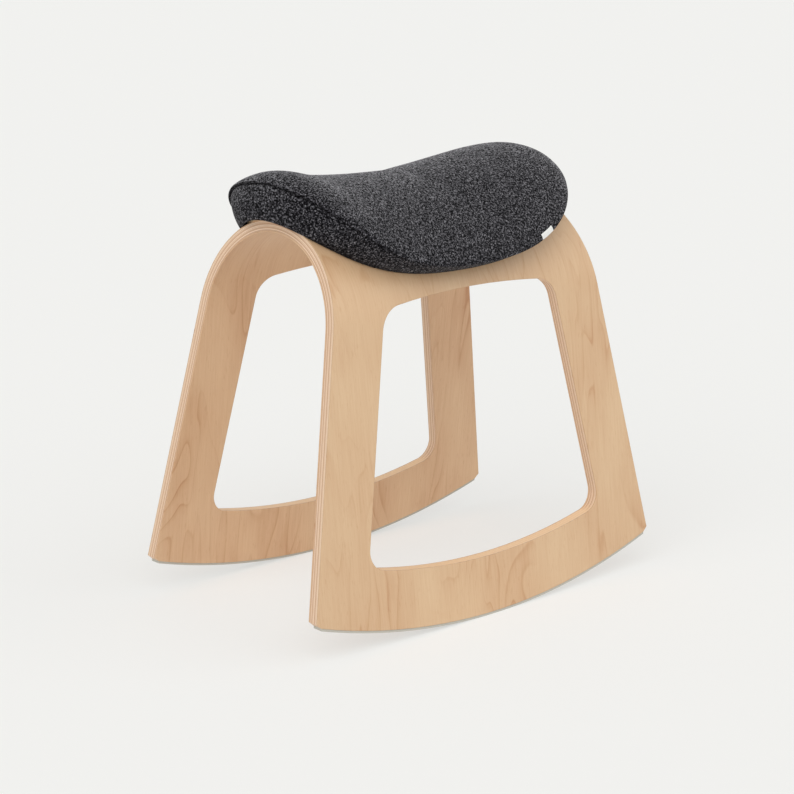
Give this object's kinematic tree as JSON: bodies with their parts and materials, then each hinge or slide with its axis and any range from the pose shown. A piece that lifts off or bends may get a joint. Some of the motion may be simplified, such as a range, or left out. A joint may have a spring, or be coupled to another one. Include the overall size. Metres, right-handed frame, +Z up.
{
  "type": "rocking saddle stool",
  "caption": "Rocking saddle stool: a bent plywood sheet with a window in each side stands on its curved lower edges, under a dark felt saddle pad.",
  "frame": {"origin": "On the floor, midway between the points where the two rockers touch it, under the middle of the saddle.", "axes": "+X along the bend, the way the stool rocks; +Y to the left side panel; +Z up."},
  "size_m": [0.5576, 0.3462, 0.5463],
  "materials": {
    "face_veneer": "clear matt lacquer",
    "plywood_core": "sanded edge, clear matt lacquer",
    "strip_rubber": "matt",
    "wool_felt": "melange wool felt",
    "seat_foam": "plain foam",
    "base_board": "raw plywood",
    "tag_cloth": "woven tape",
    "fastener_steel": "zinc plated"
  },
  "bodies": {
    "root": {"outer_face_veneer": "face_veneer", "core_plies": "plywood_core", "inner_face_veneer": "face_veneer", "left_rocker_strip": "strip_rubber", "right_rocker_strip": "strip_rubber", "felt_top": "wool_felt", "felt_band": "wool_felt", "foam_core": "seat_foam", "seat_base": "base_board", "sewn_tag": "tag_cloth", "seat_bolts": "fastener_steel", "bolt_washers": "fastener_steel", "tee_nuts": "fastener_steel"}
  },
  "joints": []
}
